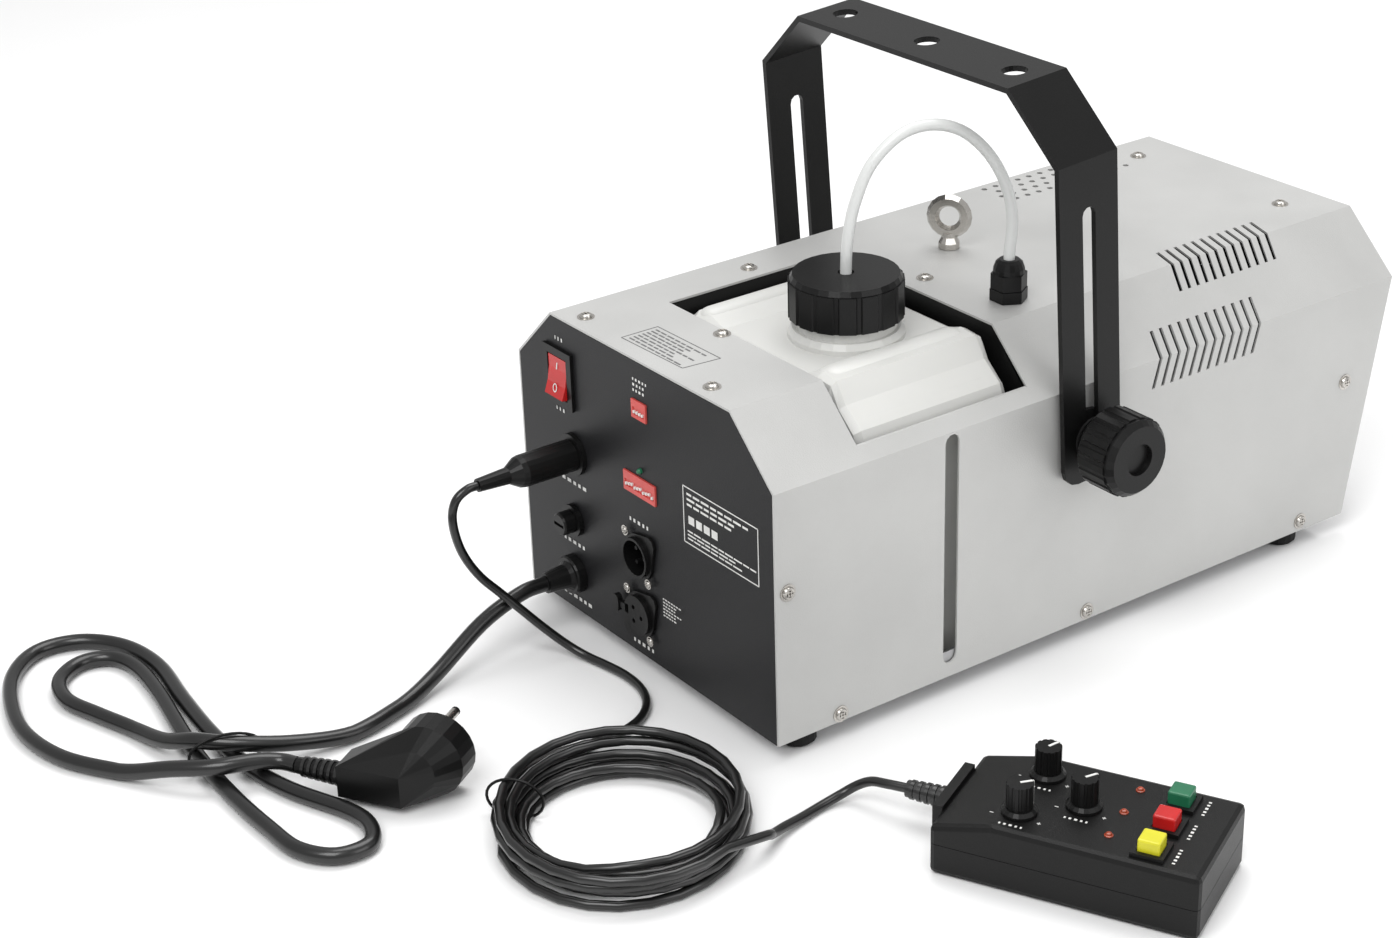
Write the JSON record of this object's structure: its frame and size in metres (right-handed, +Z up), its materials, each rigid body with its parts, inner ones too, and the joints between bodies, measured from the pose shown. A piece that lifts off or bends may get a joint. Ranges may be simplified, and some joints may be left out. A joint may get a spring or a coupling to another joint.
{
  "type": "fog machine",
  "caption": "Fog machine with a tilting hanging bracket, a lift-out fluid tank, a rear control panel and a wired handset with dials and buttons.",
  "frame": {"origin": "middle of the machine and its handset, on the floor under the feet", "axes": "+Z up; the control panel faces -Y and the fog leaves towards +Y; +X is to the right seen from the control panel"},
  "size_m": [0.5634, 0.7267, 0.3064],
  "materials": {
    "silver_paint": "fine textured silver grey paint",
    "charcoal_paint": "satin charcoal paint",
    "satin_black_paint": "satin black paint",
    "black_plastic": "moulded, satin",
    "cord_jacket": "flexible jacket, semi-gloss",
    "black_rubber": "matt",
    "milky_plastic": "translucent, blow moulded",
    "clear_hose": "smooth, milky",
    "plated_steel": "zinc plated",
    "galvanised_steel": "galvanised",
    "cast_aluminium": "as cast",
    "brass": "turned",
    "circuit_board": "solder mask",
    "red_plastic": "moulded",
    "green_plastic": "moulded",
    "yellow_plastic": "moulded"
  },
  "bodies": {
    "machine": {"top_cover": "silver_paint", "rear_panel": "charcoal_paint", "front_panel": "charcoal_paint", "switch_frame": "black_plastic", "fuse_holder": "black_plastic", "signal_in": "black_plastic", "signal_out": "black_plastic", "dip_switch": "black_plastic", "remote_socket": "black_plastic", "mains_gland": "black_plastic", "tank_well": "black_plastic", "gland_body": "black_plastic", "gland_nut": "black_plastic", "pump": "black_plastic", "mains_plug": "black_plastic", "remote_plug": "black_plastic", "handset_top": "black_plastic", "handset_base": "black_plastic", "mains_cord": "cord_jacket", "remote_lead": "cord_jacket", "remote_coil": "cord_jacket", "remote_tail": "cord_jacket", "handset_relief": "cord_jacket", "foot_rear_left": "black_rubber", "foot_rear_right": "black_rubber", "foot_front_left": "black_rubber", "foot_front_right": "black_rubber", "washer_left": "black_rubber", "washer_right": "black_rubber", "feed_hose": "clear_hose", "suction_line": "clear_hose", "eye_bolt": "plated_steel", "pivot_stud_left": "plated_steel", "pivot_stud_right": "plated_steel", "nozzle_guard": "plated_steel", "heater_jacket": "plated_steel", "base_tray": "galvanised_steel", "heater_block": "cast_aluminium", "nozzle": "brass", "control_board": "circuit_board", "handset_board": "circuit_board", "wireless_switch": "red_plastic", "status_led": "green_plastic"},
    "tilt_block": {"spacer_left": "black_rubber", "spacer_right": "black_rubber"},
    "bracket": {"bracket": "satin_black_paint"},
    "knob_left": {"clamp_knob_left": "black_plastic"},
    "knob_right": {"clamp_knob_right": "black_plastic"},
    "tank": {"fluid_tank": "milky_plastic", "cap_gasket": "black_rubber"},
    "cap": {"tank_cap": "black_plastic"},
    "rocker": {"rocker": "red_plastic"},
    "fuse_cap": {"fuse_cap": "black_plastic"},
    "release_tab": {"release_tab": "black_plastic"},
    "dial_1": {"dial_1": "black_plastic"},
    "dial_2": {"dial_2": "black_plastic"},
    "dial_3": {"dial_3": "black_plastic"},
    "button_green": {"button_green": "green_plastic"},
    "button_red": {"button_red": "red_plastic"},
    "button_yellow": {"button_yellow": "yellow_plastic"}
  },
  "joints": [
    {"name": "bracket_tilt", "type": "hinge", "parent": "machine", "child": "tilt_block", "pos_m": [-0.094, -0.0092, 0.1205], "axis": [1, 0, 0], "range_deg": [-60, 60]},
    {"name": "bracket_height", "type": "slide", "parent": "tilt_block", "child": "bracket", "axis": [0, -0.0663, 0.9978], "range_m": [-0.006, 0.012]},
    {"name": "knob_turn_left", "type": "hinge", "parent": "machine", "child": "knob_left", "pos_m": [-0.094, -0.0092, 0.1205], "axis": [-1, 0, 0], "range_deg": [0, 360]},
    {"name": "knob_turn_right", "type": "hinge", "parent": "machine", "child": "knob_right", "pos_m": [-0.094, -0.0092, 0.1205], "axis": [1, 0, 0], "range_deg": [0, 360]},
    {"name": "tank_lift", "type": "slide", "parent": "machine", "child": "tank", "axis": [0, 0, 1], "range_m": [0, 0.03], "deforming": ["feed_hose"]},
    {"name": "cap_turn", "type": "hinge", "parent": "tank", "child": "cap", "pos_m": [-0.065, -0.098, 0.19], "axis": [0, 0, 1], "range_deg": [0, 360]},
    {"name": "rocker_switch", "type": "hinge", "parent": "machine", "child": "rocker", "pos_m": [-0.1652, -0.2092, 0.1465], "axis": [1, 0, 0], "range_deg": [0, 18]},
    {"name": "fuse_cap_turn", "type": "hinge", "parent": "machine", "child": "fuse_cap", "pos_m": [-0.1585, -0.208, 0.0655], "axis": [0, -1, 0], "range_deg": [0, 90]},
    {"name": "release_press", "type": "slide", "parent": "machine", "child": "release_tab", "axis": [1, 0, 0], "range_m": [0, 0.002], "stiffness_N_per_m": 400},
    {"name": "dial_1_turn", "type": "hinge", "parent": "machine", "child": "dial_1", "pos_m": [0.14429, -0.14704, 0.0333], "axis": [0, 0, 1], "range_deg": [-140, 140]},
    {"name": "dial_2_turn", "type": "hinge", "parent": "machine", "child": "dial_2", "pos_m": [0.15891, -0.17786, 0.0333], "axis": [0, 0, 1], "range_deg": [-140, 140]},
    {"name": "dial_3_turn", "type": "hinge", "parent": "machine", "child": "dial_3", "pos_m": [0.17379, -0.15192, 0.0333], "axis": [0, 0, 1], "range_deg": [-140, 140]},
    {"name": "green_press", "type": "slide", "parent": "machine", "child": "button_green", "axis": [0, 0, -1], "range_m": [0, 0.002], "stiffness_N_per_m": 750},
    {"name": "red_press", "type": "slide", "parent": "machine", "child": "button_red", "axis": [0, 0, -1], "range_m": [0, 0.002], "stiffness_N_per_m": 750},
    {"name": "yellow_press", "type": "slide", "parent": "machine", "child": "button_yellow", "axis": [0, 0, -1], "range_m": [0, 0.002], "stiffness_N_per_m": 750}
  ]
}
